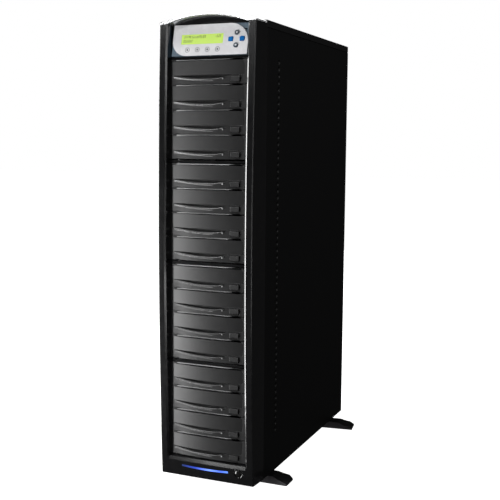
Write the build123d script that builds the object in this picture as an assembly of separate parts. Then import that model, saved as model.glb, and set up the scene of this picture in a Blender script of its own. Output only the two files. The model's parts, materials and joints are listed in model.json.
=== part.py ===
from build123d import *
from math import cos, radians, sin, sqrt, tan
import os

# Disc duplicator tower: sixteen tray-loading drives stacked behind one bowed front moulding.
# Millimetres, +Z up. The origin is the bottom centre of the whole object's bounding box.

# Clearances
seam = 0.2            # still pieces beside each other
slack = 0.3           # round a moving piece
running = 0.08        # shaft in its hole, on the radius
round_sides = 24      # flats round each small round cap and pin

# Case
case_depth = 457.8    # behind the front moulding
head_room = 64.05     # from the top drive to the top of the case
foot_height = 12.0    # floor to the underside of the case
panel_thickness = 2.0
sheet = 1.2
cover_lip = 12.0      # how far the top cover folds down each side
shut_line = 0.8       # gap between that fold and the side panel

# Vents: one column of countersunk holes down each side panel
vent_pitch = 11.7
vent_margin = 64.0    # least height left above the top vent
vent_first = 65.3     # lowest vent above the panel's lower edge
vent_inset = 55.5     # behind the panel's front edge
vent_mouth = 4.6      # radius at the outer face
vent_throat = 2.4     # radius at the inner face
vent_sides = 6

# Front moulding
bezel_nose = 13.6     # in front of the drive faces at its two ends
bezel_bow = 11.6      # further bulge at half height
bezel_root = 25.6     # behind the drive faces, where it meets the case
bezel_draft = 3.6     # each side narrows by this towards the front
bezel_wall = 3.0
bay_gap = 1.0         # beside the drives
stile_width = 17.5    # from the bay to the side of the case
sill_height = 32.2
inner_chamfer = 2.6
outer_chamfer = 1.2
sill_chamfer = 5.0
stile_drop = 5.4      # top of the stiles below the top of the case
crown_rise = 10.9     # peak of the arch above the case
arch_sag = 13.44      # from the peak of the arch down to its shoulders
bay_arch_sag = 12.45
arch_band = 4.4       # thickness of the arch at its peak
arch_chamfer = 1.2
crossbar_height = 3.6
crossbar_depth = 5.0
crossbar_setback = 2.0
backing_setback = 8.0  # wall behind the controller, behind the drive faces

# Drives
module_count = 4
drives_per_module = 4
drive_pitch = 42.4
module_gap = 7.45
stack_base = 33.2     # lowest drive above the underside of the case
faceplate_width = 148.0
faceplate_height = 41.8
faceplate_depth = 5.0
faceplate_bevel = 2.2
bevel_left_inset = 8.0    # these insets are from the ends of the faceplate
bevel_right_inset = 18.0
door_left_inset = 1.8
door_right_inset = 12.0
door_drop = 2.9       # top of the door below the top of the faceplate
door_height = 23.9
door_bulge = 5.4
door_depth = 3.0
door_corner = 5.0
door_corner_flats = 3
chin_bulge = 3.6      # the strip below the door
chin_root = 1.0       # how deep that strip is sunk into the faceplate
scoop_drop = 5.6
scoop_depth = 2.4
scoop_margin = 2.0    # from the end of the door
scoop_rise_run = 13.0
eject_inset = 18.8    # from the right end of the faceplate
eject_width = 17.6
eject_height = 9.0
eject_drop = 29.6     # below the top of the faceplate
eject_proud = 2.4
eject_travel = 1.0
eject_chamfer = 0.5
housing_inset = 1.0   # inside the ends of the faceplate
housing_step = 0.4    # inside its top and bottom
housing_depth = 168.0
housing_wall = 0.8
tray_width = 123.0
tray_travel = 140.0
tray_stay = 16.0      # of its length, left in the drive when it is out
tray_thickness = 6.0
tray_drop = 13.4      # top of the tray below the top of the faceplate
tray_headroom = 6.5
disc_radius = 60.2       # to the middle of each flat side of the disc's recess
disc_sides = 18
disc_setback = 64.0
disc_recess = 2.0
spindle_slot_width = 38.0
spindle_slot_near = 22.0  # how far the slot reaches in front of the disc's centre
spindle_slot_corner = 12.0
spindle_slot_far = 44.0   # and behind it

# Controller
controller_side_gap = 4.5
controller_slope = 54.8   # along the tilted face
controller_tilt = 14.0    # degrees, the top leans back
controller_nose = 8.0     # lower edge in front of the drive faces
controller_gap = 5.0      # above the top drive
plate_thickness = 1.2
plate_big_corner = 35.0
plate_small_corner = 28.0
screen_key_gap = 9.9       # from the screen to the nearest key
screen_height = 17.4
screen_inset = 16.3       # from the left edge of the plate
screen_rise = 28.9        # centre, up the tilted face
keypad_inset = 21.7       # from the right edge of the plate to the middle of the four keys
keypad_rise = 27.0
key_reach_x = 10.4
key_reach_y = 10.9
ring_key_radius = 4.2
square_key_width = 8.6
square_key_height = 7.8
key_corner = 1.2
key_proud = 0.9
key_travel = 0.7
key_depth = 3.0
keypad_well_width = 34.0   # the cavity behind the plate that the keys press into
keypad_well_height = 36.0
board_inset = 7.5
board_height = 40.0
board_thickness = 1.6
standoff = 3.0
standoff_radius = 3.0
standoff_sides = 6

# Sill fittings
light_left_inset = 26.5   # from the left side of the bay
light_right_inset = 33.5
light_height = 3.2
light_sag = 1.7
light_rise = 19.2         # above the underside of the case
power_inset = 13.4        # from the right side of the bay
power_rise = 20.0
power_radius = 6.3
power_proud = 1.4
power_chamfer = 1.2
power_length = 12.0
power_travel = 2.0
power_ring = 1.7          # width of the countersink round it
power_ring_taper = 35.0

# Feet
foot_width = 46.0
foot_top_width = 30.0
foot_reach = 66.0         # pivot to tip
foot_heel = 16.0          # pivot to heel
foot_tip_height = 4.0
foot_tip_corner = 13.0
foot_shelf = 36.0         # pivot to the top of the steep step
foot_step_run = 9.5
foot_step_drop = 3.6
foot_gap = 0.2
front_foot_inset = 27.5     # pivot, from the side of the case
rear_foot_inset = 16.5
front_foot_setback = 38.0   # behind the joint between the moulding and the case
rear_foot_setback = 76.0    # in front of the back of the case
rear_toe = 8.0              # degrees, the rear feet point slightly back
left_front_toe = 30.0
pivot_radius = 4.0
foot_sole = 2.0           # left under the pivot's hole

# Back of the case
fan_size = 80.0
fan_depth = 25.0
fan_bore = 38.0
fan_bore_sides = 40
fan_hub = 17.0
fan_hub_sides = 28
fan_boss_depth = 3.0
fan_blades = 7
blade_tip_gap = 1.6
blade_thickness = 1.6
blade_chord = 23.0
blade_angle = 40.0        # between the blade and the plane it sweeps
fan_corner = 4.0
fan_places = (0.41, 0.75)     # centres, as shares of the height of the case
strut_width = 4.0
supply_width = 150.0
supply_height = 86.0
supply_depth = 140.0
supply_border = 5.0
supply_wall = 1.2
inlet_width = 27.0
inlet_height = 19.5
inlet_depth = 14.0
inlet_wall = 3.0
inlet_corner = 3.0
inlet_pins = ((-7.0, -2.0), (0.0, 3.0), (7.0, -2.0))
inlet_pin_width = 2.0
inlet_pin_height = 4.0
inlet_x = -48.0
rocker_x = -12.0
rocker_width = 13.0
rocker_height = 20.0
rocker_angle = 9.0
rocker_lip = 0.8
supply_slots = 6
supply_slot_pitch = 7.0
supply_slot_width = 3.0
supply_slot_height = 56.0
supply_slot_x = 22.0
screw_head_radius = 5.0
screw_head_height = 5.0
screw_head_sides = 16     # a coarse knurl
screw_edge = 6.0          # from the side panel's inner face to the row of screws
screws_per_side = 3

# Places worked out from the sizes above
drive_face_y = (bezel_nose + bezel_bow - bezel_root - case_depth - screw_head_height) / 2
joint_y = drive_face_y + bezel_root
case_back_y = joint_y + case_depth
half_plate = faceplate_width / 2
half_housing = half_plate - housing_inset
half_bay = half_plate + bay_gap
half_case = half_bay + stile_width
half_inside = half_case - panel_thickness
half_controller = half_bay - controller_side_gap
drive_count = module_count * drives_per_module
stack_height = drive_count * drive_pitch + (module_count - 1) * module_gap
case_height = stack_base + stack_height + head_room
case_bottom = foot_height
case_top = case_bottom + case_height
crown_top = case_top + crown_rise
sill_top = case_bottom + sill_height
stile_top = case_top - stile_drop
stack_top = case_bottom + stack_base + stack_height
arch_radius = (half_case ** 2 + arch_sag ** 2) / (2 * arch_sag)
bay_arch_radius = (half_bay ** 2 + bay_arch_sag ** 2) / (2 * bay_arch_sag)
door_left = door_left_inset - half_plate
door_right = half_plate - door_right_inset
eject_left = half_plate - eject_inset - eject_width
eject_depth = faceplate_depth - eject_travel - slack
scoop_end = eject_left - 2 * slack
tray_length = tray_travel + tray_stay
drive_tops = [
    stack_top - drive * drive_pitch - (drive // drives_per_module) * module_gap
    for drive in range(drive_count)
]
bow_radius = ((crown_top - case_bottom) ** 2 / 4 + bezel_bow ** 2) / (2 * bezel_bow)
bezel_front_y = drive_face_y - bezel_nose
backing_y = drive_face_y + backing_setback
light_length = 2 * half_bay - light_left_inset - light_right_inset
light_x = (light_left_inset - light_right_inset) / 2
power_x = half_bay - power_inset
keypad_x = half_controller - keypad_inset
screen_left = screen_inset - half_controller
screen_right = keypad_x - key_reach_x - square_key_width / 2 - screen_key_gap
screen_width = screen_right - screen_left
screen_x = (screen_left + screen_right) / 2


def block(x_span, y_span, z_span):
    """A box given by its two limits along each axis."""
    spans = (x_span, y_span, z_span)
    middle = [(low + high) / 2 for low, high in spans]
    return Pos(*middle) * Box(*[high - low for low, high in spans])


def along_y(sketch, y_near, y_far):
    """Extrude a front-view sketch (x, z) from y_near back to y_far."""
    return extrude(Plane.XZ.offset(-y_near) * sketch, amount=y_near - y_far)


def along_x(sketch, x_low, x_high):
    """Extrude a side-view sketch (y, z) from x_low to x_high."""
    return extrude(Plane.YZ.offset(x_low) * sketch, amount=x_high - x_low)


def along_z(sketch, z_low, z_high):
    """Extrude a plan sketch (x, y) from z_low to z_high."""
    return extrude(Plane.XY.offset(z_low) * sketch, amount=z_high - z_low)


def rod_y(radius, x, z, y_near, y_far):
    """A round bar along Y."""
    return along_y(Pos(x, z) * Circle(radius), y_near, y_far)


def rectangle_between(x_span, z_span):
    (x_low, x_high), (z_low, z_high) = x_span, z_span
    return Pos((x_low + x_high) / 2, (z_low + z_high) / 2) * Rectangle(x_high - x_low, z_high - z_low)


def clipped_rectangle(width, height, corner):
    """A rectangle with its corners cut off at 45 degrees."""
    return chamfer(Rectangle(width, height).vertices(), corner)


def bow_y(z):
    """How far forward the moulding's bowed front lies at height z."""
    offset = z - (case_bottom + crown_top) / 2
    return bezel_front_y - bezel_bow + bow_radius - sqrt(bow_radius ** 2 - offset ** 2)


def moulding_envelope(inset):
    """The moulding's outer form, bowed in side view and tapered in plan, less a wall."""
    ends = bezel_front_y + inset
    side = make_face(
        Line((joint_y, case_bottom), (ends, case_bottom))
        + ThreePointArc(
            (ends, case_bottom), (ends - bezel_bow, (case_bottom + crown_top) / 2), (ends, crown_top)
        )
        + Line((ends, crown_top), (joint_y, crown_top))
        + Line((joint_y, crown_top), (joint_y, case_bottom))
    )
    root = half_case - inset
    nose = root - bezel_draft
    nose_y = bezel_front_y - bezel_bow
    plan = Polygon(
        (-root, joint_y), (-nose, nose_y), (nose, nose_y), (root, joint_y), align=None
    )
    return along_x(side, -half_case, half_case) & along_z(plan, case_bottom, crown_top)


def arch_z(radius, peak, x):
    return peak - radius + sqrt(radius ** 2 - x ** 2)


def arched_region(half_width, low, radius, peak):
    """A front-view region with a flat base and an arched top."""
    shoulder = arch_z(radius, peak, half_width)
    return make_face(
        Line((-half_width, shoulder), (-half_width, low))
        + Line((-half_width, low), (half_width, low))
        + Line((half_width, low), (half_width, shoulder))
        + ThreePointArc((half_width, shoulder), (0, peak), (-half_width, shoulder))
    )


def light_outline(margin):
    """The sill lamp's outline: a shallow smile with straight ends."""
    half = light_length / 2 + margin
    middle = case_bottom + light_rise
    top, bottom = middle + light_height / 2 + margin, middle - light_height / 2 - margin
    upper = ThreePointArc((-half, top), (0, top - light_sag), (half, top))
    lower = ThreePointArc((half, bottom), (0, bottom - light_sag), (-half, bottom))
    face = make_face(upper + Line((half, top), (half, bottom)) + lower + Line((-half, bottom), (-half, top)))
    return Pos(light_x, 0) * face


def front_bezel():
    whole_width, whole_depth = (-half_case, half_case), (bezel_front_y - bezel_bow, joint_y)
    body = moulding_envelope(0) & block(whole_width, whole_depth, (case_bottom, stile_top))
    body = chamfer(body.edges().filter_by(GeomType.LINE, reverse=True), outer_chamfer)
    body -= block((-half_bay, half_bay), whole_depth, (sill_top, stile_top))
    bay_edges = [
        edge for edge in body.edges().filter_by(GeomType.LINE, reverse=True)
        if abs(abs(edge.center().X) - half_bay) < inner_chamfer / 2
    ]
    body = chamfer(bay_edges, inner_chamfer)
    lip_y = bow_y(sill_top)
    slope = make_face(Polyline(
        (lip_y - sill_chamfer, sill_top), (lip_y + sill_chamfer, sill_top),
        (lip_y - sill_chamfer, sill_top - 2 * sill_chamfer), close=True,
    ))
    body -= along_x(slope, -half_bay, half_bay)

    hollow = moulding_envelope(bezel_wall) & block(
        whole_width, whole_depth, (case_bottom + bezel_wall, stile_top - bezel_wall)
    )
    liner = half_bay + bezel_wall
    hollow -= block((-liner, liner), whole_depth, (sill_top - sill_chamfer - bezel_wall, crown_top))
    body -= hollow

    power_z = case_bottom + power_rise
    face_y = bow_y(power_z)
    bore, boss_end = power_radius + slack, face_y + power_length
    body += rod_y(bore + bezel_wall, power_x, power_z, face_y + bezel_wall / 2, boss_end)
    body -= rod_y(bore, power_x, power_z, bezel_front_y - bezel_bow, boss_end)
    ring = Plane((power_x, face_y, power_z), z_dir=(0, 1, 0)) * Circle(bore + power_ring)
    body -= extrude(ring, amount=power_ring, taper=power_ring_taper)
    body -= along_y(light_outline(seam), bezel_front_y - bezel_bow, drive_face_y)

    bar_y = (drive_face_y + crossbar_setback, drive_face_y + crossbar_setback + crossbar_depth)
    bar_levels = [
        drive_tops[module * drives_per_module] + module_gap / 2 - (drive_pitch - faceplate_height) / 2
        for module in range(1, module_count)
    ]
    half_bar = crossbar_height / 2
    for level in bar_levels:
        body += block((-half_bay, half_bay), bar_y, (level - half_bar, level + half_bar))
    shelf = (stack_top + seam, stack_top + controller_gap - seam)
    body += block((-half_bay, half_bay), bar_y, shelf)
    backing = arched_region(half_bay, stack_top + seam, bay_arch_radius, crown_top - arch_band - seam)
    body += along_y(backing, backing_y, backing_y + bezel_wall)
    return body


def arch_trim():
    above = arched_region(half_case, stile_top, arch_radius, crown_top)
    bay = arched_region(half_bay, sill_top, bay_arch_radius, crown_top - arch_band)
    band = along_y(above - bay, bezel_front_y - bezel_bow, joint_y) & moulding_envelope(0)
    long_edges = [edge for edge in band.edges() if edge.length > half_case]
    front_edges = [
        edge for edge in long_edges
        if edge.center().Y < drive_face_y and edge.center().Z > stile_top + arch_band / 2
    ]
    return chamfer(front_edges, arch_chamfer)


def light_bar():
    lamp = along_y(light_outline(0), bezel_front_y - bezel_bow, bezel_front_y + 2 * bezel_wall)
    return lamp & moulding_envelope(0)


def power_button():
    z = case_bottom + power_rise
    front = bow_y(z)
    outline = Pos(power_x, z) * RegularPolygon(power_radius, round_sides)
    stem = along_y(outline, front - power_proud, front + power_length - power_travel)
    return chamfer(stem.faces().sort_by(Axis.Y)[0].edges(), power_chamfer)


def faceplate():
    """One drive's fixed front, its top edge at z = 0 and its face at y = 0."""
    door_bottom = -door_drop - door_height
    body = block((-half_plate, half_plate), (0, faceplate_depth), (-faceplate_height, 0))
    chin_span = (door_left, door_right)
    chin_top, chin_base = door_bottom - slack, -faceplate_height
    body += along_z(bulged_plan(chin_span, chin_bulge, chin_root), chin_base, chin_top)
    body -= along_y(door_outline(slack), -door_bulge, faceplate_depth)
    bevel = make_face(Polyline(
        (-faceplate_bevel, faceplate_bevel), (-faceplate_bevel, -2 * faceplate_bevel),
        (2 * faceplate_bevel, faceplate_bevel), close=True,
    ))
    body -= along_x(bevel, bevel_left_inset - half_plate, half_plate - bevel_right_inset)
    low = door_bottom - scoop_drop
    start, turn = door_left + scoop_margin, scoop_end - scoop_rise_run
    scoop = make_face(
        ThreePointArc((start, chin_top), ((start + turn) / 2, low), (turn, low))
        + Line((turn, low), (scoop_end, chin_top)) + Line((scoop_end, chin_top), (start, chin_top))
    )
    body -= along_y(scoop, -door_bulge, scoop_depth)
    pocket_x = (eject_left - slack, eject_left + eject_width + slack)
    pocket_z = (-eject_drop - eject_height - slack, -eject_drop + slack)
    body -= along_y(rectangle_between(pocket_x, pocket_z), -door_bulge, faceplate_depth)
    return body


def bulged_plan(x_span, bulge, depth):
    """A plan region with a flat back and a front that swells forward."""
    low, high = x_span
    return make_face(
        ThreePointArc((low, 0), ((low + high) / 2, -bulge), (high, 0))
        + Line((high, 0), (high, depth)) + Line((high, depth), (low, depth)) + Line((low, depth), (low, 0))
    )


def door_outline(margin):
    """The tray door in front view: square but for its upper right corner, turned in a few flats."""
    left, right = door_left - margin, door_right + margin
    top, bottom = -door_drop + margin, -door_drop - door_height - margin
    radius = door_corner + margin
    turn = [radians(90 * step / door_corner_flats) for step in range(door_corner_flats + 1)]
    corner = [(right - radius + radius * cos(angle), top - radius + radius * sin(angle)) for angle in turn]
    return Polygon((left, top), (left, bottom), (right, bottom), *corner, align=None)


def tray():
    """The sliding tray with its door, closed, in its drive's own frame."""
    door = along_y(door_outline(0), -door_bulge, door_depth)
    door &= along_z(bulged_plan((door_left, door_right), door_bulge, door_depth), -faceplate_height, 0)
    half = tray_width / 2
    bottom = -tray_drop - tray_thickness
    plate = block((-half, half), (door_depth, door_depth + tray_length), (bottom, -tray_drop))
    centre = door_depth + disc_setback
    disc = RegularPolygon(disc_radius, disc_sides, major_radius=False)
    plate -= along_z(Pos(0, centre) * disc, -tray_drop - disc_recess, -tray_drop)
    side = spindle_slot_width / 2
    near, far = centre - spindle_slot_near, centre + spindle_slot_far
    slot = Polygon(
        (-side, far), (-side, near + spindle_slot_corner), (spindle_slot_corner - side, near),
        (side - spindle_slot_corner, near), (side, near + spindle_slot_corner), (side, far), align=None,
    )
    plate -= along_z(slot, bottom, -tray_drop)
    return door + plate


def eject_button():
    x = (eject_left, eject_left + eject_width)
    z = (-eject_drop - eject_height, -eject_drop)
    cap = block(x, (-eject_proud, eject_depth), z)
    return chamfer(cap.faces().sort_by(Axis.Y)[0].edges(), eject_chamfer)


def drive_housing():
    """One drive's sheet shell, open in front for its tray, with the deck and rails that carry it."""
    top, bottom = -housing_step, housing_step - faceplate_height
    front, back = faceplate_depth, faceplate_depth + housing_depth
    inner = half_housing - housing_wall
    inside = (front + housing_wall, back - housing_wall)
    shell = block((-half_housing, half_housing), (front, back), (bottom, top))
    shell -= block((-inner, inner), inside, (bottom + housing_wall, top - housing_wall))
    gap = tray_width / 2 + slack
    floor = -tray_drop - tray_thickness - slack
    shell -= block((-gap, gap), (front, inside[0]), (floor, tray_headroom - tray_drop))
    shell += block((-inner, inner), inside, (floor - housing_wall, floor))
    for side in (-1, 1):
        shell += block(sorted((side * gap, side * inner)), inside, (floor, -tray_drop))
    return shell


def on_panel(shape):
    """Place a shape drawn on the controller's face (x across, y up it, z outwards)."""
    base = (0, drive_face_y - controller_nose, stack_top + controller_gap)
    lean = radians(controller_tilt)
    return Plane(base, x_dir=(1, 0, 0), z_dir=(0, -cos(lean), sin(lean))) * shape


def plate_outline():
    half, big, small = half_controller, plate_big_corner, plate_small_corner
    return make_face(
        Polyline((half, controller_slope - big), (half, 0), (small - half, 0))
        + RadiusArc((small - half, 0), (-half, small), small)
        + Polyline((-half, small), (-half, controller_slope), (half - big, controller_slope))
        + RadiusArc((half - big, controller_slope), (half, controller_slope - big), big)
    )


def ring_key_outline(margin):
    return RegularPolygon(ring_key_radius + margin, round_sides)


def square_key_outline(margin):
    return clipped_rectangle(square_key_width + 2 * margin, square_key_height + 2 * margin, key_corner)


key_places = {
    "up_key": (keypad_x, keypad_rise + key_reach_y, ring_key_outline),
    "down_key": (keypad_x, keypad_rise - key_reach_y, ring_key_outline),
    "left_key": (keypad_x - key_reach_x, keypad_rise, square_key_outline),
    "right_key": (keypad_x + key_reach_x, keypad_rise, square_key_outline),
}


def controller_plate():
    plate = extrude(plate_outline(), amount=plate_thickness)
    window = Pos(screen_x, screen_rise) * Rectangle(screen_width, screen_height)
    plate -= extrude(window, amount=plate_thickness)
    for x, y, outline in key_places.values():
        plate -= extrude(Pos(x, y) * outline(slack), amount=plate_thickness)
    return on_panel(plate)


def screen():
    glass = extrude(
        Pos(screen_x, screen_rise) * Rectangle(screen_width - seam, screen_height - seam),
        amount=plate_thickness - seam,
    )
    return on_panel(glass)


def key(name):
    x, y, outline = key_places[name]
    length = key_depth + plate_thickness + key_proud
    cap = extrude(Pos(x, y, -key_depth) * outline(0), amount=length)
    return on_panel(cap)


def controller_body():
    low = stack_top + controller_gap
    high = low + controller_slope * cos(radians(controller_tilt))
    across = (-half_controller, half_controller)
    body = block(across, (drive_face_y - controller_nose, backing_y), (low, high))
    face = Rectangle(4 * half_controller, 4 * controller_slope)
    body -= on_panel(extrude(face, amount=4 * controller_nose))
    well_depth = key_depth + key_travel + slack
    well = Pos(keypad_x, keypad_rise, -well_depth) * Rectangle(keypad_well_width, keypad_well_height)
    return body - on_panel(extrude(well, amount=2 * well_depth))


def control_board():
    wall_back = backing_y + bezel_wall
    middle = stack_top + controller_gap + controller_slope / 2
    half_x, half_z = half_controller - board_inset, board_height / 2
    front = wall_back + standoff
    board = block((-half_x, half_x), (front, front + board_thickness), (middle - half_z, middle + half_z))
    for x in (-half_x + 2 * standoff_radius, half_x - 2 * standoff_radius):
        for z in (middle - half_z + 2 * standoff_radius, middle + half_z - 2 * standoff_radius):
            board += along_y(Pos(x, z) * RegularPolygon(standoff_radius, standoff_sides), wall_back, front)
    chip_x, chip = half_x / 3, board_height / 3
    back = front + board_thickness
    chip_z = (middle - chip / 2, middle + chip / 2)
    board += block((-chip_x - chip, -chip_x + chip), (back, back + board_thickness), chip_z)
    plug_z = (middle - chip / 3, middle + chip / 3)
    board += block((chip_x, 2 * chip_x), (back, back + 3 * board_thickness), plug_z)
    return board


fan_levels = [case_bottom + share * case_height for share in fan_places]
supply_bottom = case_bottom + sheet
rear_inner_y = case_back_y - sheet
inlet_z = supply_bottom + supply_height / 2


def fan_opening():
    return RegularPolygon(fan_bore, fan_bore_sides)


def chassis():
    """Welded steel: base pan, front frame, back panel and the two cage plates."""
    inside = (-half_inside, half_inside)
    top = case_top - sheet
    base = block(inside, (joint_y, rear_inner_y), (case_bottom, case_bottom + sheet))
    frame = block(inside, (joint_y, joint_y + sheet), (case_bottom + sheet, top))
    opening = half_housing + sheet
    across, thin = (-opening, opening), (joint_y, joint_y + sheet)
    frame -= block(across, thin, (sill_top - bezel_wall, top - bezel_wall))
    frame -= block(across, thin, (case_bottom + sheet, sill_top - 2 * bezel_wall))
    back = block(inside, (rear_inner_y, case_back_y), (case_bottom, top))
    for level in fan_levels:
        back -= along_y(Pos(0, level) * fan_opening(), rear_inner_y, case_back_y)
    half_supply = supply_width / 2 - supply_border
    back -= block(
        (-half_supply, half_supply), (rear_inner_y, case_back_y),
        (supply_bottom + supply_border, supply_bottom + supply_height - supply_border),
    )
    parts = [base, frame, back]
    cage_back = drive_face_y + faceplate_depth + housing_depth
    for side in (-1, 1):
        x = sorted((side * half_housing, side * opening))
        parts.append(block(x, (joint_y + sheet, cage_back), (case_bottom + sheet, top)))
    return parts


def top_cover():
    half = half_case
    roof = block((-half, half), (joint_y, case_back_y), (case_top - cover_lip, case_top))
    inner = half_inside
    return roof - block((-inner, inner), (joint_y, case_back_y), (case_top - cover_lip, case_top - sheet))


def vent_cutter(side):
    """A tapered hole through one side panel, wide outside, centred on the origin of the panel."""
    angles = [radians(360 * (corner + 0.5) / vent_sides) for corner in range(vent_sides)]
    rims = ((side * half_case, vent_mouth), (side * half_inside, vent_throat))
    return ConvexPolyhedron([
        Vector(x, radius * sin(angle), radius * cos(angle)) for x, radius in rims for angle in angles
    ])


def side_panel(side):
    x = sorted((side * half_inside, side * half_case))
    panel_top = case_top - cover_lip - shut_line
    panel = block(x, (joint_y, case_back_y), (case_bottom, panel_top))
    cutter = Pos(0, joint_y + vent_inset, case_bottom + vent_first) * vent_cutter(side)
    rows = int((panel_top - case_bottom - vent_first - vent_margin) / vent_pitch) + 1
    return panel - [Pos(0, 0, row * vent_pitch) * cutter for row in range(rows)]


front_foot_at = (half_case - front_foot_inset, joint_y + front_foot_setback)
rear_foot_at = (half_case - rear_foot_inset, case_back_y - rear_foot_setback)
foot_places = {
    "right_front_foot": (1, *front_foot_at, 0),
    "left_front_foot": (-1, *front_foot_at, left_front_toe),
    "right_rear_foot": (1, *rear_foot_at, rear_toe),
    "left_rear_foot": (-1, *rear_foot_at, rear_toe),
}


def foot(name):
    """A swing-out foot: drawn along +X from its pivot, turned to its place, mirrored on the left."""
    side, x, y, toe = foot_places[name]
    top = foot_height - foot_gap
    half, half_top = foot_width / 2, foot_top_width / 2
    plan = Polygon(
        (-foot_heel, -half), (foot_reach, -half), (foot_reach, half - foot_tip_corner),
        (foot_reach - foot_tip_corner, half), (-foot_heel, half), align=None,
    )
    body = along_z(plan, 0, top)
    step_end = foot_shelf + foot_step_run
    side_view = make_face(Polyline(
        (-foot_heel, 0), (foot_reach, 0), (foot_reach, foot_tip_height), (step_end, top - foot_step_drop),
        (foot_shelf, top), (-foot_heel, top), close=True,
    ))
    body &= extrude(Plane.XZ.offset(-half) * side_view, amount=foot_width)
    end_view = make_face(Polyline(
        (-half, 0), (half, 0), (half, foot_tip_height / 2), (half_top, top), (-half_top, top),
        (-half, foot_tip_height / 2), close=True,
    ))
    body &= along_x(end_view, -foot_heel, foot_reach)
    body -= along_z(Circle(pivot_radius + running), foot_sole, top)
    placed = Pos(x, y, 0) * Rot(0, 0, toe) * body
    return placed if side > 0 else mirror(placed, about=Plane.YZ)


def fan_frame(level):
    front = rear_inner_y - fan_depth
    square = clipped_rectangle(fan_size, fan_size, fan_corner) - fan_opening()
    frame = along_y(Pos(0, level) * square, front, rear_inner_y)
    span = fan_bore + fan_size / 2    # each strut runs into the frame at both ends
    hub = RegularPolygon(fan_hub, fan_hub_sides)
    spider = hub + Rectangle(span, strut_width) + Rectangle(strut_width, span)
    return frame + along_y(Pos(0, level) * spider, front, front + fan_boss_depth)


def fan_rotor(level):
    front = rear_inner_y - fan_depth + fan_boss_depth + slack
    back = rear_inner_y - slack
    rotor = along_y(Pos(0, level) * RegularPolygon(fan_hub, fan_hub_sides), front, back)
    half_sweep = blade_chord / 2 * cos(radians(blade_angle))
    tip = sqrt((fan_bore - blade_tip_gap) ** 2 - half_sweep ** 2)
    blade = Pos(0, (front + back) / 2, level) * Rot(0, 0, blade_angle) * block(
        (-blade_chord / 2, blade_chord / 2), (-blade_thickness / 2, blade_thickness / 2), (fan_hub / 2, tip)
    )
    axis = Axis((0, 0, level), (0, 1, 0))
    for index in range(fan_blades):
        rotor += blade.rotate(axis, index * 360 / fan_blades)
    return rotor


def inlet_outline(margin):
    """The mains socket's mouth, in back view, grown by a margin."""
    width, height = inlet_width + 2 * margin, inlet_height + 2 * margin
    return Pos(inlet_x, inlet_z) * clipped_rectangle(width, height, inlet_corner)


def power_supply():
    """A sheet box with a switch well and air slots in the back, and the mains socket set into it."""
    half, wall = supply_width / 2, supply_wall
    front, back, rim_y = rear_inner_y - supply_depth, rear_inner_y, case_back_y + sheet
    top = supply_bottom + supply_height
    body = block((-half, half), (front, back), (supply_bottom, top))
    body -= block((wall - half, half - wall), (front + wall, back - wall), (supply_bottom + wall, top - wall))
    body -= along_y(inlet_outline(inlet_wall + seam), back - wall, back)
    floor_y = rim_y - inlet_depth
    inlet = along_y(inlet_outline(inlet_wall), floor_y - wall, rim_y)
    inlet -= along_y(inlet_outline(0), floor_y, rim_y)
    for x, z in inlet_pins:
        pin = Pos(inlet_x + x, inlet_z + z) * Rectangle(inlet_pin_width, inlet_pin_height)
        inlet += along_y(pin, floor_y, case_back_y)
    well_size = (rocker_width + 2 * slack, rocker_height + 2 * slack)
    well_depth = rocker_height / 2 + slack
    housing = Pos(rocker_x, inlet_z) * Rectangle(*[size + 2 * wall for size in well_size])
    body += along_y(housing, back - well_depth - wall, back)
    body -= along_y(Pos(rocker_x, inlet_z) * Rectangle(*well_size), back - well_depth, back)
    for index in range(supply_slots):
        x = supply_slot_x + index * supply_slot_pitch
        slot = rectangle_between(
            (x, x + supply_slot_width), (inlet_z - supply_slot_height / 2, inlet_z + supply_slot_height / 2)
        )
        body -= along_y(slot, back - wall, back)
    return [body, inlet]


def rocker_switch():
    """A rocker that pivots inside the supply's well, resting on its lower half."""
    radius = rocker_height / 2
    dish = radius * tan(radians(rocker_angle))
    side_view = make_face(
        ThreePointArc((rocker_lip, -radius), (rocker_lip - radius, 0), (rocker_lip, radius))
        + Line((rocker_lip, radius), (rocker_lip - dish, 0))
        + Line((rocker_lip - dish, 0), (rocker_lip, -radius))
    )
    half = rocker_width / 2
    body = along_x(side_view, -half, half)
    return Pos(rocker_x, rear_inner_y, inlet_z) * Rot(rocker_angle, 0, 0) * body


def screws():
    """Thumb screws down the back edges and the pivot pins of the four feet."""
    parts = []
    top = case_top - cover_lip
    for side in (-1, 1):
        x = side * (half_inside - screw_edge)
        for index in range(screws_per_side):
            z = case_bottom + (top - case_bottom) * (index + 0.5) / screws_per_side
            knob = Pos(x, z) * RegularPolygon(screw_head_radius, screw_head_sides)
            parts.append(along_y(knob, case_back_y, case_back_y + screw_head_height))
    pivot = along_z(RegularPolygon(pivot_radius, round_sides), foot_sole + slack, case_bottom)
    for side, x, y, _ in foot_places.values():
        parts.append(Pos(side * x, y, 0) * pivot)
    return parts


def at_drive(shape, drive):
    return Pos(0, drive_face_y, drive_tops[drive]) * shape


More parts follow.
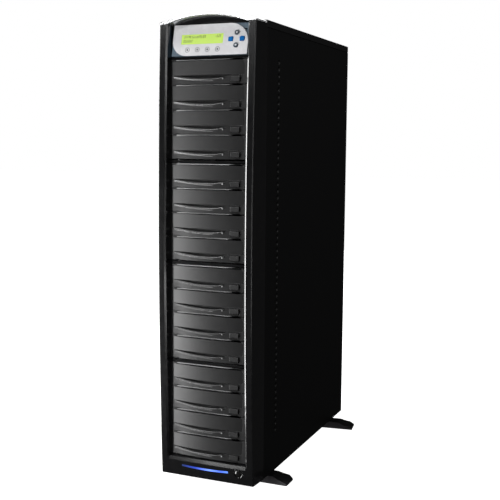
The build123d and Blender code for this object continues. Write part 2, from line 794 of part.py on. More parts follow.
one_faceplate, one_housing, one_tray, one_button = faceplate(), drive_housing(), tray(), eject_button()
drives = range(drive_count)
nodes = {
    "front_bezel": front_bezel(),
    "arch_trim": arch_trim(),
    "light_bar": light_bar(),
    "power_button": power_button(),
    "controller_body": controller_body(),
    "controller_plate": controller_plate(),
    "lcd_window": screen(),
    "control_board": control_board(),
    "chassis": chassis(),
    "top_cover": top_cover(),
    "left_side_panel": side_panel(-1),
    "right_side_panel": side_panel(1),
    "drive_faceplates": [at_drive(one_faceplate, drive) for drive in drives],
    "drive_housings": [at_drive(one_housing, drive) for drive in drives],
    "power_supply": power_supply(),
    "rocker_switch": rocker_switch(),
    "fan_frames": [fan_frame(level) for level in fan_levels],
    "screws": screws(),
}
for name in key_places:
    nodes[name] = key(name)
for name in foot_places:
    nodes[name] = foot(name)
for index, level in enumerate(fan_levels, start=1):
    nodes[f"fan_rotor_{index}"] = fan_rotor(level)
for drive in drives:
    nodes[f"tray_{drive + 1:02d}"] = at_drive(one_tray, drive)
    nodes[f"eject_button_{drive + 1:02d}"] = at_drive(one_button, drive)

os.makedirs("parts", exist_ok=True)
for name, shape in nodes.items():
    pieces = shape if isinstance(shape, list) else [shape]
    solids = [solid for piece in pieces for solid in piece.solids()]
    export_step(solids[0] if len(solids) == 1 else Compound(children=solids), f"parts/{name}.step")
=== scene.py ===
import json
import math

import bmesh
import bpy
from mathutils import Matrix, Vector


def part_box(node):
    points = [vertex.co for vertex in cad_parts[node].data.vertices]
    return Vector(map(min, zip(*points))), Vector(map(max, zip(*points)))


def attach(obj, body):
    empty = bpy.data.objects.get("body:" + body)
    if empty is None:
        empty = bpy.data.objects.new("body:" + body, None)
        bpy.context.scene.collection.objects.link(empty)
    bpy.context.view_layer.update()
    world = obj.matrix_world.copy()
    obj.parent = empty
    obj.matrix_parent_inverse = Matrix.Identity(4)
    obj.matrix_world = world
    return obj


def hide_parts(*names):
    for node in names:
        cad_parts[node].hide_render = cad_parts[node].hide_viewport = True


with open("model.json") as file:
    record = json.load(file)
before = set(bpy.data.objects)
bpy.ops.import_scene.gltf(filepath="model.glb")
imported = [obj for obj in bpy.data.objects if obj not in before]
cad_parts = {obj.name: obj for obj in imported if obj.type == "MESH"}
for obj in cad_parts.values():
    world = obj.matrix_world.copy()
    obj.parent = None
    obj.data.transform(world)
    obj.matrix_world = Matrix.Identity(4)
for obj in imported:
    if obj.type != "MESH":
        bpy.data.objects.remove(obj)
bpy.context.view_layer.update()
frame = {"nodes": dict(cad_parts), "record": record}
print("stage: frame loaded")

# Places shared by several pieces, in metres, read from the frame where it has them
tower = {
    "driveCount": 16,
    "drivesPerModule": 4,
    "drivePitch": 0.0424,
    "moduleGap": 0.00745,
    "faceplateDepth": 0.005,
    "panelTilt": math.radians(14.0),
}
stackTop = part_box("drive_faceplates")[1].z
driveTops = [
    stackTop - drive * tower["drivePitch"] - drive // tower["drivesPerModule"] * tower["moduleGap"]
    for drive in range(tower["driveCount"])
]
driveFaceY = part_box("drive_housings")[0].y - tower["faceplateDepth"]
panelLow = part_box("controller_body")[0]
panelBase = Vector((0, panelLow.y, panelLow.z))


class Wire:
    # a shader socket that adds Math nodes when it is used in an expression
    def __init__(self, shop, socket):
        self.shop = shop
        self.socket = socket

    def __add__(self, other):
        return self.shop.maths("ADD", self, other)

    def __radd__(self, other):
        return self.shop.maths("ADD", other, self)

    def __sub__(self, other):
        return self.shop.maths("SUBTRACT", self, other)

    def __rsub__(self, other):
        return self.shop.maths("SUBTRACT", other, self)

    def __mul__(self, other):
        return self.shop.maths("MULTIPLY", self, other)

    def __rmul__(self, other):
        return self.shop.maths("MULTIPLY", other, self)

    def __truediv__(self, other):
        return self.shop.maths("DIVIDE", self, other)

    def __gt__(self, other):
        return self.shop.maths("GREATER_THAN", self, other)


class Shop:
    # one material or geometry tree, and the one method that adds its nodes
    def __init__(self, tree):
        self.tree = tree

    def node(self, kind, settings=None, inputs=None, output=0):
        made = self.tree.nodes.new(kind)
        for name, value in (settings or {}).items():
            if name == "stops":
                for index, (place, colour) in enumerate(value):
                    stops = made.color_ramp.elements
                    stop = stops[index] if index < 2 else stops.new(place)
                    stop.position, stop.color = place, colour
            else:
                setattr(made, name, value)
        for name, value in (inputs or {}).items():
            if isinstance(value, Wire):
                self.tree.links.new(value.socket, made.inputs[name])
            else:
                made.inputs[name].default_value = value
        return Wire(self, made.outputs[output]) if made.outputs else made

    def maths(self, operation, first, second=0.0, clamp=False):
        settings = {"operation": operation, "use_clamp": clamp}
        return self.node("ShaderNodeMath", settings, {0: first, 1: second})

    def clamp(self, value):
        return self.maths("ADD", value, 0.0, clamp=True)

    def coords(self):
        return self.node("ShaderNodeTexCoord", output="Object")

    def axes(self, vector):
        split = self.tree.nodes.new("ShaderNodeSeparateXYZ")
        self.tree.links.new(vector.socket, split.inputs[0])
        return [Wire(self, output) for output in split.outputs]

    def noise(self, vector, scale, detail=3.0, roughness=0.5):
        return self.node("ShaderNodeTexNoise", {}, {
            "Vector": vector, "Scale": scale, "Detail": detail, "Roughness": roughness,
        })

    def stretch(self, vector, factors):
        return self.node("ShaderNodeVectorMath", {"operation": "MULTIPLY"}, {0: vector, 1: factors})

    def mix(self, factor, first, second):
        return self.node("ShaderNodeMix", {"data_type": "RGBA"}, {0: factor, 6: first, 7: second}, output=2)

    def ramp(self, factor, stops):
        return self.node("ShaderNodeValToRGB", {"stops": stops}, {0: factor})

    def bump(self, height, distance):
        return self.node("ShaderNodeBump", {}, {"Height": height, "Distance": distance})


def grey(value):
    return (value, value, value, 1.0)


def newMaterial(name, sockets):
    # a Principled material; fill adds the sockets that follow a pattern
    material = bpy.data.materials.new(name)
    material.use_nodes = True
    tree = material.node_tree
    shop = Shop(tree)
    shop.material = material
    shop.surface = tree.nodes["Principled BSDF"]
    fill(shop, sockets)
    return shop


def fill(shop, sockets):
    for name, value in sockets.items():
        if isinstance(value, Wire):
            shop.tree.links.new(value.socket, shop.surface.inputs[name])
        else:
            shop.surface.inputs[name].default_value = value


def shaded(colour, factor, lift=0.0):
    return tuple(min(1.0, channel * factor + lift) for channel in colour[:3]) + (1.0,)


def mouldedPlastic(name, colour, roughness, grain, grainDepth, specular=0.5, coat=0.0):
    # moulded plastic: fine spark-eroded grain, slow changes of gloss and a trace of dust
    look = {
        "coatRoughness": 0.08, "cloudScale": 9.0, "cloudGloss": 0.12, "dustScale": 60.0, "dustGloss": 0.08,
        "dustFrom": 0.45, "dustGain": 1.6, "dustFactor": 1.35, "dustLift": 0.002,
    }
    shop = newMaterial(name, {
        "Specular IOR Level": specular, "Coat Weight": coat, "Coat Roughness": look["coatRoughness"],
    })
    place = shop.coords()
    fine = shop.noise(place, grain, 2.0)
    cloud = shop.noise(place, look["cloudScale"], 3.0)
    dust = shop.noise(place, look["dustScale"], 4.0, 0.7)
    dusty = shop.clamp((dust - look["dustFrom"]) * look["dustGain"])
    gloss = roughness + (cloud - 0.5) * look["cloudGloss"] + (dust - 0.5) * look["dustGloss"]
    fill(shop, {
        "Base Color": shop.mix(dusty, colour, shaded(colour, look["dustFactor"], look["dustLift"])),
        "Roughness": shop.clamp(gloss),
        "Normal": shop.bump(fine, grainDepth),
    })
    return shop.material


def silverPaint(name, colour, roughness):
    # silver lacquer on a moulding: fine metal flakes under a clear coat
    look = {
        "metallic": 0.85, "coat": 0.4, "coatRoughness": 0.1, "cloudScale": 30.0, "cloudFactor": 0.86,
        "flakeScale": 2600.0, "flakeGloss": 0.1, "flakeDepth": 0.000006,
    }
    shop = newMaterial(name, {
        "Metallic": look["metallic"], "Coat Weight": look["coat"], "Coat Roughness": look["coatRoughness"],
    })
    place = shop.coords()
    flakes = shop.noise(place, look["flakeScale"], 1.0)
    cloud = shop.noise(place, look["cloudScale"], 3.0)
    fill(shop, {
        "Base Color": shop.mix(cloud, shaded(colour, look["cloudFactor"]), colour),
        "Roughness": shop.clamp(roughness + (flakes - 0.5) * look["flakeGloss"]),
        "Normal": shop.bump(flakes, look["flakeDepth"]),
    })
    return shop.material


def powderCoat(name, colour, roughness, specular):
    # baked powder paint on sheet steel: orange peel over a fine speckle
    look = {
        "cloudScale": 5.0, "cloudFactor": 1.2, "peelScale": 420.0, "peelShare": 0.7,
        "speckleScale": 1500.0, "speckleShare": 0.3, "speckleGloss": 0.16, "depth": 0.00012,
    }
    shop = newMaterial(name, {"Specular IOR Level": specular})
    place = shop.coords()
    peel = shop.noise(place, look["peelScale"], 2.0)
    speckle = shop.noise(place, look["speckleScale"], 1.0)
    cloud = shop.noise(place, look["cloudScale"], 2.0)
    height = peel * look["peelShare"] + speckle * look["speckleShare"]
    fill(shop, {
        "Base Color": shop.mix(cloud, colour, shaded(colour, look["cloudFactor"])),
        "Roughness": shop.clamp(roughness + (speckle - 0.5) * look["speckleGloss"]),
        "Normal": shop.bump(height, look["depth"]),
    })
    return shop.material


def sheetSteel(name, colour, roughness, along, metallic=1.0):
    # plated sheet: stretched rolling marks, cloudy zinc
    look = {
        "rollScale": 240.0, "rollGloss": 0.2, "rollDepth": 0.00003,
        "cloudScale": 22.0, "cloudGloss": 0.15, "cloudFactor": 0.8,
    }
    shop = newMaterial(name, {"Metallic": metallic})
    place = shop.coords()
    rolled = shop.noise(shop.stretch(place, along), look["rollScale"], 3.0)
    cloud = shop.noise(place, look["cloudScale"], 4.0, 0.6)
    gloss = roughness + (rolled - 0.5) * look["rollGloss"] + (cloud - 0.5) * look["cloudGloss"]
    fill(shop, {
        "Base Color": shop.mix(cloud, shaded(colour, look["cloudFactor"]), colour),
        "Roughness": shop.clamp(gloss),
        "Normal": shop.bump(rolled, look["rollDepth"]),
    })
    return shop.material


def litBar(name, bar):
    # the sill lamp: nearly dark at its left end, brightest to the right of its middle
    shop = newMaterial(name, {"Roughness": bar["roughness"], "Emission Strength": bar["strength"]})
    across, _, _ = shop.axes(shop.coords())
    reach = (across - bar["left"]) / (bar["right"] - bar["left"])
    fill(shop, {"Base Color": bar["base"], "Emission Color": shop.ramp(shop.clamp(reach), bar["stops"])})
    return shop.material


def displayGlass(name, display):
    # backlit display: a fine pixel grid under slow clouds of brightness
    shop = newMaterial(name, {"Roughness": display["roughness"], "Emission Strength": display["glow"]})
    across, _, up = shop.axes(shop.coords())
    columns = shop.maths("PINGPONG", across, display["cell"])
    rows = shop.maths("PINGPONG", up, display["cell"])
    grid = shop.clamp((columns + rows) / display["cell"])
    cloud = shop.noise(shop.coords(), display["cloudScale"], 2.0)
    colour = shop.mix(grid, display["dark"], display["bright"])
    fill(shop, {
        "Base Color": shop.mix(cloud * display["cloudShare"], colour, display["bright"]),
        "Emission Color": colour,
    })
    return shop.material


def circuitBoard(name):
    # green lacquer over copper tracks
    look = {
        "tracks": {
            "Scale": 160.0, "Mortar Size": 0.03, "Mortar": (0.05, 0.32, 0.13, 1.0),
            "Color1": (0.01, 0.12, 0.05, 1.0), "Color2": (0.02, 0.2, 0.08, 1.0),
        },
        "rippleScale": 300.0, "rippleDepth": 0.00005,
    }
    shop = newMaterial(name, {"Coat Weight": 0.5, "Coat Roughness": 0.1, "Roughness": 0.4})
    place = shop.coords()
    tracks = shop.node("ShaderNodeTexBrick", {}, {"Vector": place, **look["tracks"]})
    ripple = shop.bump(shop.noise(place, look["rippleScale"]), look["rippleDepth"])
    fill(shop, {"Base Color": tracks, "Normal": ripple})
    return shop.material


# maker, then colour, roughness and the maker's own values
finishTable = {
    "caseBlack": (powderCoat, (0.003, 0.003, 0.0032, 1.0), 0.5, 0.2),
    "roofBlack": (powderCoat, (0.004, 0.004, 0.0042, 1.0), 0.42, 0.4),
    "bezelBlack": (mouldedPlastic, (0.006, 0.006, 0.0065, 1.0), 0.2, 900.0, 0.000015, 0.5, 0.35),
    "driveBlack": (mouldedPlastic, (0.013, 0.013, 0.0135, 1.0), 0.36, 1300.0, 0.00004, 0.5),
    "buttonBlack": (mouldedPlastic, (0.015, 0.015, 0.0155, 1.0), 0.3, 1500.0, 0.00002, 0.5),
    "silverTrim": (silverPaint, (0.80, 0.80, 0.81, 1.0), 0.22),
    "plateSilver": (mouldedPlastic, (0.73, 0.73, 0.75, 1.0), 0.45, 1600.0, 0.00001, 0.4),
    "slate": (mouldedPlastic, (0.06, 0.10, 0.14, 1.0), 0.45, 1100.0, 0.00003, 0.4),
    "keyBlue": (mouldedPlastic, (0.0, 0.145, 0.47, 1.0), 0.55, 1400.0, 0.00001, 0.12),
    "keyPale": (mouldedPlastic, (0.7, 0.72, 0.74, 1.0), 0.4, 1400.0, 0.00001, 0.45),
    "printGrey": (mouldedPlastic, (0.03, 0.035, 0.045, 1.0), 0.6, 1400.0, 0.00001, 0.3),
    "footGrey": (mouldedPlastic, (0.032, 0.03, 0.033, 1.0), 0.42, 700.0, 0.0001, 0.5),
    "fanBlack": (mouldedPlastic, (0.012, 0.012, 0.012, 1.0), 0.4, 900.0, 0.00003, 0.5),
    # near-black for painted shade: the door gaps, the strip under each chin and the pin holes
    "pitBlack": (mouldedPlastic, (0.001, 0.001, 0.001, 1.0), 0.7, 900.0, 0.00001, 0.2),
    "zinc": (sheetSteel, (0.34, 0.345, 0.35, 1.0), 0.55, (1.0, 1.0, 14.0), 0.6),
    "driveSteel": (sheetSteel, (0.58, 0.58, 0.58, 1.0), 0.34, (1.0, 12.0, 1.0)),
    "screwSteel": (sheetSteel, (0.6, 0.6, 0.61, 1.0), 0.28, (8.0, 1.0, 1.0)),
    "supplyGrey": (powderCoat, (0.12, 0.12, 0.125, 1.0), 0.4, 0.5),
    "board": (circuitBoard,),
    "doorBlack": (mouldedPlastic, (0.014, 0.014, 0.0145, 1.0), 0.42, 1300.0, 0.00003, 0.5),
    # glossy bead plastic, lighter than the drive plastic: partly painted highlight
    "edgeGloss": (mouldedPlastic, (0.10, 0.10, 0.101, 1.0), 0.27, 1300.0, 0.00001, 0.9),
    # pale grey on the drive lips: painted highlight
    "lipShine": (mouldedPlastic, (0.30, 0.30, 0.305, 1.0), 0.3, 1300.0, 0.00001, 1.0),
    "lensClear": (mouldedPlastic, (0.45, 0.46, 0.46, 1.0), 0.15, 1300.0, 0.00001, 0.6),
    "ringSlate": (mouldedPlastic, (0.018, 0.03, 0.045, 1.0), 0.35, 1300.0, 0.00001, 0.5),
    "figureInk": (mouldedPlastic, (0.01, 0.05, 0.01, 1.0), 0.5, 1300.0, 0.00001, 0.3),
    "capGloss": (mouldedPlastic, (0.007, 0.007, 0.007, 1.0), 0.16, 1300.0, 0.00001, 0.6, 0.3),
}
finishes = {name: maker(name, *values) for name, (maker, *values) in finishTable.items()}
lampBar = {
    "roughness": 0.25, "strength": 1.7, "left": -0.0485, "right": 0.0415,
    "base": (0.03, 0.05, 0.12, 1.0),
    "stops": [
        (0.0, (0.0, 0.004, 0.04, 1.0)), (1.0, (0.10, 0.22, 0.8, 1.0)),
        (0.3, (0.01, 0.03, 0.35, 1.0)), (0.6, (0.16, 0.28, 1.0, 1.0)), (0.85, (0.05, 0.12, 0.7, 1.0)),
    ],
}
display = {
    "roughness": 0.3, "glow": 0.22, "cell": 0.0004, "cloudScale": 40.0, "cloudShare": 0.3,
    "dark": (0.36, 0.56, 0.012, 1.0), "bright": (0.46, 0.70, 0.03, 1.0),
}
finishes["lamp"] = litBar("lamp", lampBar)
finishes["display"] = displayGlass("display", display)
print("stage: materials made")


def finishObject(obj, body, finishName):
    obj.data.materials.clear()
    obj.data.materials.append(finishes[finishName])
    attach(obj, body)
    return obj


def meshFrom(name, shaper):
    # shaper fills a bmesh in the row frame; the object stays at the origin
    shape = bmesh.new()
    shaper(shape)
    mesh = bpy.data.meshes.new(name)
    bmesh.ops.recalc_face_normals(shape, faces=shape.faces)
    shape.to_mesh(mesh)
    shape.free()
    obj = bpy.data.objects.new(name, mesh)
    bpy.context.scene.collection.objects.link(obj)
    return obj


def plainMesh(obj):
    # bakes the modifiers of obj into its mesh
    bpy.context.view_layer.update()
    evaluated = obj.evaluated_get(bpy.context.evaluated_depsgraph_get())
    baked = bpy.data.meshes.new_from_object(evaluated)
    obj.modifiers.clear()
    obj.data = baked
    return obj


def smoothByAngle(mesh, degrees=32.0):
    mesh.shade_smooth()
    mesh.set_sharp_from_angle(angle=math.radians(degrees))


def joinedCopy(node, weld=1e-6, flatDegrees=0.6):
    # a copy of a CAD node with its loose triangles joined
    shape = bmesh.new()
    shape.from_mesh(frame["nodes"][node].data)
    bmesh.ops.remove_doubles(shape, verts=shape.verts, dist=weld)
    bmesh.ops.dissolve_limit(
        shape, angle_limit=math.radians(flatDegrees), verts=shape.verts, edges=shape.edges,
        delimit={"NORMAL"},
    )
    mesh = bpy.data.meshes.new(node + "Soft")
    shape.to_mesh(mesh)
    shape.free()
    obj = bpy.data.objects.new(node + "Soft", mesh)
    bpy.context.scene.collection.objects.link(obj)
    return obj


def bevelled(obj, width, segments=2, angle=28.0):
    # edges rounded, and normals that keep the broad faces flat
    smoothByAngle(obj.data)
    bevel = obj.modifiers.new("edges", "BEVEL")
    bevel.width, bevel.segments = width, segments
    bevel.limit_method, bevel.angle_limit = "ANGLE", math.radians(angle)
    weigh = obj.modifiers.new("weigh", "WEIGHTED_NORMAL")
    weigh.keep_sharp = True
    return plainMesh(obj)


nodeFinishes = {
    "front_bezel": "bezelBlack", "arch_trim": "silverTrim", "light_bar": "lamp",
    "power_button": "buttonBlack", "controller_body": "slate", "controller_plate": "plateSilver",
    "lcd_window": "display", "control_board": "board", "chassis": "zinc", "top_cover": "roofBlack",
    "left_side_panel": "caseBlack", "right_side_panel": "caseBlack", "drive_faceplates": "driveBlack",
    "drive_housings": "driveSteel", "power_supply": "supplyGrey", "rocker_switch": "buttonBlack",
    "fan_frames": "fanBlack", "fan_rotor_1": "fanBlack", "fan_rotor_2": "fanBlack", "screws": "screwSteel",
    "up_key": "slate", "down_key": "slate", "left_key": "keyBlue", "right_key": "keyBlue",
    "right_front_foot": "footGrey", "left_front_foot": "footGrey",
    "right_rear_foot": "footGrey", "left_rear_foot": "footGrey",
}
for drive in range(1, tower["driveCount"] + 1):
    nodeFinishes[f"tray_{drive:02d}"] = "driveBlack"
    nodeFinishes[f"eject_button_{drive:02d}"] = "driveBlack"
for node, finishName in nodeFinishes.items():
    carried = frame["nodes"][node]
    carried.data.materials.clear()
    carried.data.materials.append(finishes[finishName])
print("stage: frame painted")

bodyOf = {node: body for body, nodes in frame["record"]["behaviour"]["bodies"].items() for node in nodes}
edgeRadii = {
    "front_bezel": 0.0007, "arch_trim": 0.0006, "controller_plate": 0.0003, "drive_faceplates": 0.00035,
    "top_cover": 0.0006, "controller_body": 0.0005,
    "right_front_foot": 0.0009, "left_front_foot": 0.0009,
    "right_rear_foot": 0.0009, "left_rear_foot": 0.0009,
    "up_key": 0.0003, "down_key": 0.0003, "left_key": 0.0004, "right_key": 0.0004,
    "fan_frames": 0.0006, "power_supply": 0.0004, "rocker_switch": 0.0004, "screws": 0.0004,
}
for drive in range(1, tower["driveCount"] + 1):
    edgeRadii[f"eject_button_{drive:02d}"] = 0.0005
for node, radius in edgeRadii.items():
    soft = bevelled(joinedCopy(node), radius)
    finishObject(soft, bodyOf[node], nodeFinishes[node])
    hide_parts(node)
print("stage: edges rounded")


def newTree(name, inputs):
    # a geometry tree whose first input is the piece's own mesh, with named inputs after it
    tree = bpy.data.node_groups.new(name, "GeometryNodeTree")
    tree.interface.new_socket("Geometry", in_out="OUTPUT", socket_type="NodeSocketGeometry")
    tree.interface.new_socket("Pattern", in_out="INPUT", socket_type="NodeSocketGeometry")
    for label, kind in inputs:
        tree.interface.new_socket(label, in_out="INPUT", socket_type=kind)
    tree.interface.new_socket("Finish", in_out="INPUT", socket_type="NodeSocketMaterial")
    shop = Shop(tree)
    entry = tree.nodes.new("NodeGroupInput")
    shop.inputs = {output.name: Wire(shop, output) for output in entry.outputs if output.name}
    return shop


def closeTree(shop, geometry):
    # every tree ends in Realize Instances and Set Material
    real = shop.node("GeometryNodeRealizeInstances", {}, {0: geometry})
    painted = shop.node(
        "GeometryNodeSetMaterial", {}, {"Geometry": real, "Material": shop.inputs["Finish"]})
    end = shop.tree.nodes.new("NodeGroupOutput")
    shop.tree.links.new(painted.socket, end.inputs[0])
    return shop


def join(shop, pieces):
    joined = shop.tree.nodes.new("GeometryNodeJoinGeometry")
    for piece in pieces:
        shop.tree.links.new(piece.socket, joined.inputs[0])
    return Wire(shop, joined.outputs[0])


def grown(obj, shop, values, finishName):
    # runs a tree on an object, with its inputs set by identifier, and keeps the plain result
    modifier = obj.modifiers.new("grow", "NODES")
    modifier.node_group = shop.tree
    sockets = [item for item in shop.tree.interface.items_tree if item.in_out == "INPUT"]
    identifiers = {item.name: item.identifier for item in sockets}
    for label, value in {**values, "Finish": finishes[finishName]}.items():
        modifier[identifiers[label]] = value
    plainMesh(obj)
    shape = bmesh.new()
    shape.from_mesh(obj.data)
    bmesh.ops.recalc_face_normals(shape, faces=shape.faces)
    shape.to_mesh(obj.data)
    shape.free()
    smoothByAngle(obj.data)
    return obj


def repeatTree():
    # the piece's own mesh, repeated along a step, with a further gap after each group
    shop = newTree("repeatInGroups", [
        ("Count", "NodeSocketInt"), ("Step", "NodeSocketVector"),
        ("Group", "NodeSocketInt"), ("Gap", "NodeSocketVector"),
    ])
    given = shop.inputs
    row = shop.node("GeometryNodeMeshLine", {}, {"Count": given["Count"], "Offset": given["Step"]})
    group = shop.maths("FLOOR", shop.node("GeometryNodeInputIndex") / given["Group"])
    further = shop.node("ShaderNodeVectorMath", {"operation": "SCALE"}, {0: given["Gap"], "Scale": group})
    spread = shop.node("GeometryNodeSetPosition", {}, {"Geometry": row, "Offset": further})
    placed = shop.node("GeometryNodeInstanceOnPoints", {}, {"Points": spread, "Instance": given["Pattern"]})
    return closeTree(shop, placed)


def guardTree():
    # a fan guard in the XZ plane: wire rings carried on straight spokes
    wireSides, ringSteps, spokeShift = 8, 48, -1.6
    shop = newTree("wireGuard", [
        ("Rings", "NodeSocketInt"), ("Inner", "NodeSocketFloat"), ("Step", "NodeSocketFloat"),
        ("Spokes", "NodeSocketInt"), ("Reach", "NodeSocketFloat"), ("Wire", "NodeSocketFloat"),
        ("Centre", "NodeSocketVector"),
    ])
    given = shop.inputs
    index = shop.node("GeometryNodeInputIndex")
    behind = given["Wire"] * spokeShift
    wire = shop.node("GeometryNodeCurvePrimitiveCircle", {}, {
        "Resolution": wireSides, "Radius": given["Wire"],
    })
    circle = shop.node("GeometryNodeCurvePrimitiveCircle", {}, {"Resolution": ringSteps, "Radius": 1.0})
    size = given["Inner"] + given["Step"] * index
    rings = shop.node("GeometryNodeInstanceOnPoints", {}, {
        "Points": shop.node("GeometryNodeMeshLine", {}, {"Count": given["Rings"], "Offset": (0, 0, 0)}),
        "Instance": circle, "Scale": shop.node("ShaderNodeCombineXYZ", {}, {0: size, 1: size, 2: 1.0}),
    })
    start = shop.node("ShaderNodeCombineXYZ", {}, {0: given["Inner"], 2: behind})
    end = shop.node("ShaderNodeCombineXYZ", {}, {0: given["Reach"], 2: behind})
    turn = shop.node("ShaderNodeCombineXYZ", {}, {2: index * (2 * math.pi) / given["Spokes"]})
    spokes = shop.node("GeometryNodeInstanceOnPoints", {}, {
        "Points": shop.node("GeometryNodeMeshLine", {}, {"Count": given["Spokes"], "Offset": (0, 0, 0)}),
        "Instance": shop.node("GeometryNodeCurvePrimitiveLine", {}, {"Start": start, "End": end}),
        "Rotation": turn,
    })
    lines = shop.node("GeometryNodeRealizeInstances", {}, {0: join(shop, [rings, spokes])})
    wires = shop.node("GeometryNodeCurveToMesh", {}, {
        "Curve": lines, "Profile Curve": wire, "Fill Caps": True,
    })
    placed = shop.node("GeometryNodeTransform", {}, {
        "Geometry": wires, "Translation": given["Centre"], "Rotation": (math.radians(90), 0, 0),
    })
    return closeTree(shop, placed)


def figuresTree():
    # a line of plain figures, each of up to seven strokes picked by a fixed seed
    shop = newTree("strokeFigures", [
        ("Count", "NodeSocketInt"), ("Pitch", "NodeSocketFloat"), ("Width", "NodeSocketFloat"),
        ("Height", "NodeSocketFloat"), ("Seed", "NodeSocketInt"), ("Place", "NodeSocketVector"),
        ("Turn", "NodeSocketVector"), ("Across", "NodeSocketVector"),
    ])
    given = shop.inputs
    index = shop.node("GeometryNodeInputIndex")
    strokeCount, shownShare = 7.0, 0.72
    figure = shop.maths("FLOOR", index / strokeCount)
    stroke = index - figure * strokeCount
    upright = stroke > 2.5
    flat = 1.0 - upright
    column = shop.maths("MODULO", stroke - 3.0, 2.0)
    row = shop.maths("FLOOR", (stroke - 3.0) / 2.0)
    x = figure * given["Pitch"] + upright * (column - 0.5) * given["Width"]
    y = upright * (0.25 - row * 0.5) * given["Height"] + flat * (1.0 - stroke) * given["Height"] * 0.5
    spread = shop.node("GeometryNodeSetPosition", {}, {
        "Geometry": shop.node("GeometryNodeMeshLine", {}, {
            "Count": given["Count"] * strokeCount, "Offset": (0, 0, 0),
        }),
        "Position": shop.node("ShaderNodeCombineXYZ", {}, {0: x, 1: y}),
    })
    chance = {"Probability": shownShare, "Seed": given["Seed"]}
    shown = shop.node("FunctionNodeRandomValue", {"data_type": "BOOLEAN"}, chance, output=3)
    strokes = shop.node("GeometryNodeInstanceOnPoints", {}, {
        "Points": spread, "Selection": shown, "Instance": given["Pattern"],
        "Rotation": shop.node("ShaderNodeCombineXYZ", {}, {2: upright * (math.pi / 2)}),
    })
    slid = shop.node("GeometryNodeTransform", {}, {"Geometry": strokes, "Translation": given["Across"]})
    placed = shop.node("GeometryNodeTransform", {}, {
        "Geometry": slid, "Translation": given["Place"], "Rotation": given["Turn"],
    })
    return closeTree(shop, placed)


def turned(shape, centre, profile, sides=40):
    # a solid of revolution about a line along Y through centre (x, z); profile is (radius, y) pairs
    loops = []
    for radius, y in profile:
        steps = sides if radius > 1e-6 else 1
        angles = [2 * math.pi * step / steps for step in range(steps)]
        loops.append([
            shape.verts.new((centre[0] + radius * math.cos(angle), y, centre[1] + radius * math.sin(angle)))
            for angle in angles
        ])
    for first, second in zip(loops, loops[1:]):
        for step in range(sides):
            after = step + 1
            corners = [
                first[step % len(first)], first[after % len(first)],
                second[after % len(second)], second[step % len(second)],
            ]
            shape.faces.new(list(dict.fromkeys(corners)))


def prism(shape, low, high):
    # a block between two corners, for cutting, filling and shaping further
    spans = [b - a for a, b in zip(low, high)]
    middle = [(a + b) / 2 for a, b in zip(low, high)]
    matrix = Matrix.Translation(middle) @ Matrix.Diagonal((*spans, 1.0))
    bmesh.ops.create_cube(shape, size=1.0, matrix=matrix)


def onPanel(x, rise, proud):
    # a point on the tilted controller: across, up its face and out of it
    tilt = tower["panelTilt"]
    up = Vector((0, math.sin(tilt), math.cos(tilt)))
    out = Vector((0, -math.cos(tilt), math.sin(tilt)))
    return panelBase + Vector((x, 0, 0)) + up * rise + out * proud


def panelDisc(shape, x, rise, profile, sides=36):
    # a turned shape standing on the controller's face; profile is (radius, proud) pairs
    before = set(shape.verts)
    turned(shape, (0, 0), [(radius, -proud) for radius, proud in profile], sides)
    lean = Matrix.Rotation(-tower["panelTilt"], 4, "X")
    fresh = [vert for vert in shape.verts if vert not in before]
    bmesh.ops.transform(shape, verts=fresh, matrix=Matrix.Translation(onPanel(x, rise, 0)) @ lean)


def boolean(obj, other, operation):
    cut = obj.modifiers.new("cut", "BOOLEAN")
    cut.operation, cut.object, cut.solver = operation, other, "EXACT"
    plainMesh(obj)
    bpy.data.objects.remove(other)


repeat = repeatTree()


def repeated(obj, count, step, finishName, group=1000, gap=(0, 0, 0)):
    values = {"Count": count, "Step": step, "Group": group, "Gap": gap}
    return grown(obj, repeat, values, finishName)


def perDrive(obj, finishName):
    # one below the top of each drive, down the whole stack
    step, gap = (0, 0, -tower["drivePitch"]), (0, 0, -tower["moduleGap"])
    return repeated(obj, tower["driveCount"], step, finishName, tower["drivesPerModule"], gap)


def ventedPanels():
    vents = {
        "firstRise": 0.0770, "pitch": 0.0117, "inset": 0.0555, "topMargin": 0.0523,
        "sides": 28, "edge": 0.0004,
        "dish": [(0.0, 0.0004), (0.0050, 0.0004), (0.0048, 0.0), (0.0043, -0.0005), (0.0034, -0.0012),
                 (0.0024, -0.0018), (0.0023, -0.0026), (0.0, -0.0026)],
    }
    caseLow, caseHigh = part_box("right_side_panel")
    reach = caseHigh.z - caseLow.z - vents["firstRise"] - vents["topMargin"]
    rows = int(reach / vents["pitch"]) + 1
    for side, node in ((1, "right_side_panel"), (-1, "left_side_panel")):
        low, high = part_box(node)
        panel = meshFrom(node + "Vented", lambda shape: prism(shape, low, high))
        outer = high.x if side > 0 else low.x
        place = Matrix.Translation((outer, low.y + vents["inset"], low.z + vents["firstRise"]))

        def dimple(shape):
            turned(shape, (0, 0), vents["dish"], vents["sides"])
            bmesh.ops.transform(shape, verts=shape.verts, matrix=place @ Matrix.Rotation(
                math.radians(-90 * side), 4, "Z"))

        cutter = repeated(meshFrom("ventCutter", dimple), rows, (0, 0, vents["pitch"]), "caseBlack")
        boolean(panel, cutter, "DIFFERENCE")
        bevelled(panel, vents["edge"], 1, 40.0)
        finishObject(panel, bodyOf[node], "caseBlack")
        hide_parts(node)
    print("stage: vents pressed", rows)


ventedPanels()


def chinY(x, chin):
    # the strip under each door swells forward in the middle
    share = (x - chin["middle"]) / chin["half"]
    return driveFaceY - chin["bulge"] * (1 - share * share)


